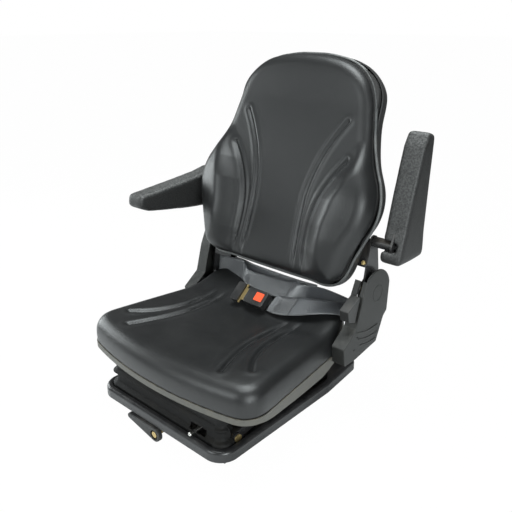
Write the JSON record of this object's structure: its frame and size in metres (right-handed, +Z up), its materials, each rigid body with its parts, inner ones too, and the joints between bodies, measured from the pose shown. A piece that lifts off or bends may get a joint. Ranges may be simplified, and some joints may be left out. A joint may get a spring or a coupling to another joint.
{
  "type": "tractor seat",
  "caption": "Suspension seat for a tractor: contoured backrest with folding armrests, recliner, lap belt and scissor suspension on floor slides",
  "frame": {"origin": "on the floor, at the centre of the four floor bolts", "axes": "+Z up, the seat faces -Y, +X is the sitter's left"},
  "size_m": [0.642, 0.5712, 0.7961],
  "materials": {
    "frame_paint": "dark gloss paint, dusty",
    "zinc": "yellow zinc plating, dulled",
    "bright_steel": "bright drawn bar",
    "spring_steel": "black coated spring wire",
    "slide_plastic": "natural nylon, greasy",
    "base_coat": "black coated pressing, dusty",
    "skirt_plastic": "black moulding with a soft sheen, dusty",
    "boot_rubber": "black rubber, dusty in the folds",
    "lever_plastic": "black moulding, scuffed",
    "pan_paint": "grey olive coat with grime",
    "vinyl": "black grained vinyl",
    "shell_plastic": "black moulding, fine grain",
    "foam": "moulded foam",
    "cover_plastic": "dark grey fine grain moulding",
    "armrest_skin": "black self-skinned foam",
    "webbing": "black woven polyester with a sheen",
    "buckle_plastic": "black moulding",
    "button_red": "orange red moulding"
  },
  "bodies": {
    "floor_rails": {"floor_rail_left": "frame_paint", "floor_rail_right": "frame_paint", "rail_cross_straps": "frame_paint", "latch_rack": "zinc"},
    "base": {"slide_runner_left": "frame_paint", "slide_runner_right": "frame_paint", "slide_shoes": "slide_plastic", "base_pan": "base_coat", "base_skirt": "skirt_plastic", "shaft_hangers": "frame_paint", "lower_tracks": "frame_paint", "pivot_brackets": "frame_paint", "lower_pivot_pins": "zinc", "spring_left": "spring_steel", "spring_right": "spring_steel", "spring_seats": "zinc", "bump_stops": "boot_rubber", "damper_bracket": "frame_paint", "weight_lever_post": "frame_paint", "boot": "boot_rubber"},
    "slide_latch": {"slide_lever": "lever_plastic", "slide_lever_bolt": "zinc", "latch_shaft": "zinc"},
    "weight_rod": {"weight_lever": "bright_steel"},
    "scissor_outer": {"outer_scissor_frame": "frame_paint", "outer_rollers": "slide_plastic"},
    "damper_lower": {"damper_tube": "frame_paint"},
    "seat": {"upper_frame": "frame_paint", "upper_pivot_pins": "zinc", "seat_pan": "pan_paint", "seat_cushion": "vinyl", "recliner_plate_left": "frame_paint", "recliner_plate_right": "frame_paint", "recliner_discs": "zinc", "recline_pins": "zinc", "side_cover_left": "cover_plastic", "side_cover_right": "cover_plastic", "belt_anchors": "zinc", "belt_webbing_left": "webbing", "belt_webbing_right": "webbing", "belt_tongue": "zinc", "tongue_cover": "buckle_plastic", "buckle_body": "buckle_plastic"},
    "scissor_inner": {"inner_scissor_frame": "frame_paint", "inner_rollers": "slide_plastic"},
    "damper_upper": {"damper_rod": "bright_steel"},
    "backrest": {"back_shell": "shell_plastic", "back_piping": "vinyl", "back_core": "foam", "back_pad": "vinyl", "side_arm_left": "frame_paint", "side_arm_right": "frame_paint", "side_arm_bolts": "zinc", "armrest_shafts": "zinc"},
    "armrest_left": {"armrest_pad_left": "armrest_skin", "armrest_bracket_left": "frame_paint"},
    "armrest_right": {"armrest_pad_right": "armrest_skin", "armrest_bracket_right": "frame_paint"},
    "recline_handle": {"recline_lever": "lever_plastic"},
    "release_button": {"buckle_button": "button_red"}
  },
  "joints": [
    {"name": "fore_aft_slide", "type": "slide", "parent": "floor_rails", "child": "base", "axis": [0, 1, 0], "range_m": [-0.075, 0.075]},
    {"name": "slide_latch_turn", "type": "hinge", "parent": "base", "child": "slide_latch", "pos_m": [0, -0.25, 0.0205], "axis": [0, 1, 0], "range_deg": [-12, 0], "stiffness_Nm_per_rad": 2, "springref_deg": 14.32},
    {"name": "weight_rod_turn", "type": "hinge", "parent": "base", "child": "weight_rod", "pos_m": [0.112, -0.128, 0.076], "axis": [0, 0, 1], "range_deg": [-8, 8]},
    {"name": "suspension_stroke", "type": "slide", "parent": "base", "child": "seat", "axis": [0, 0, 1], "range_m": [-0.048, 0], "stiffness_N_per_m": 7000, "springref_m": 0.1, "deforming": ["spring_left", "spring_right", "boot"]},
    {"name": "outer_scissor_turn", "type": "hinge", "parent": "base", "child": "scissor_outer", "pos_m": [0, -0.182, 0.066], "axis": [1, 0, 0], "range_deg": [-8.4, 0.1]},
    {"name": "damper_tube_turn", "type": "hinge", "parent": "base", "child": "damper_lower", "pos_m": [0, -0.06, 0.054], "axis": [1, 0, 0], "range_deg": [-16.7, 0.1]},
    {"name": "inner_scissor_turn", "type": "hinge", "parent": "seat", "child": "scissor_inner", "pos_m": [0, -0.182, 0.12], "axis": [1, 0, 0], "range_deg": [-0.1, 8.4]},
    {"name": "damper_rod_turn", "type": "hinge", "parent": "seat", "child": "damper_upper", "pos_m": [0, 0.095, 0.118], "axis": [1, 0, 0], "range_deg": [-16.7, 0.1]},
    {"name": "backrest_recline", "type": "hinge", "parent": "seat", "child": "backrest", "pos_m": [0, 0.203, 0.285], "axis": [1, 0, 0], "range_deg": [-20, 10]},
    {"name": "armrest_left_fold", "type": "hinge", "parent": "backrest", "child": "armrest_left", "pos_m": [0.295, 0.203, 0.405], "axis": [1, 0, 0], "range_deg": [0, 97.6]},
    {"name": "armrest_right_fold", "type": "hinge", "parent": "backrest", "child": "armrest_right", "pos_m": [-0.295, 0.203, 0.405], "axis": [1, 0, 0], "range_deg": [-97.6, 0]},
    {"name": "recline_handle_lift", "type": "hinge", "parent": "seat", "child": "recline_handle", "pos_m": [0.247, 0.203, 0.285], "axis": [1, 0, 0], "range_deg": [-18, 0], "stiffness_Nm_per_rad": 1.5, "springref_deg": 17.19},
    {"name": "release_button_press", "type": "slide", "parent": "seat", "child": "release_button", "axis": [0, 0.65, -0.76], "range_m": [0, 0.0025], "stiffness_N_per_m": 400, "springref_m": -0.002}
  ],
  "couplings": [
    {"joint": "outer_scissor_turn", "follows": "suspension_stroke", "rad_per_m": 3.0053},
    {"joint": "inner_scissor_turn", "follows": "suspension_stroke", "rad_per_m": -3.0053},
    {"joint": "damper_tube_turn", "follows": "suspension_stroke", "rad_per_m": 6.015},
    {"joint": "damper_rod_turn", "follows": "suspension_stroke", "rad_per_m": 6.015}
  ]
}
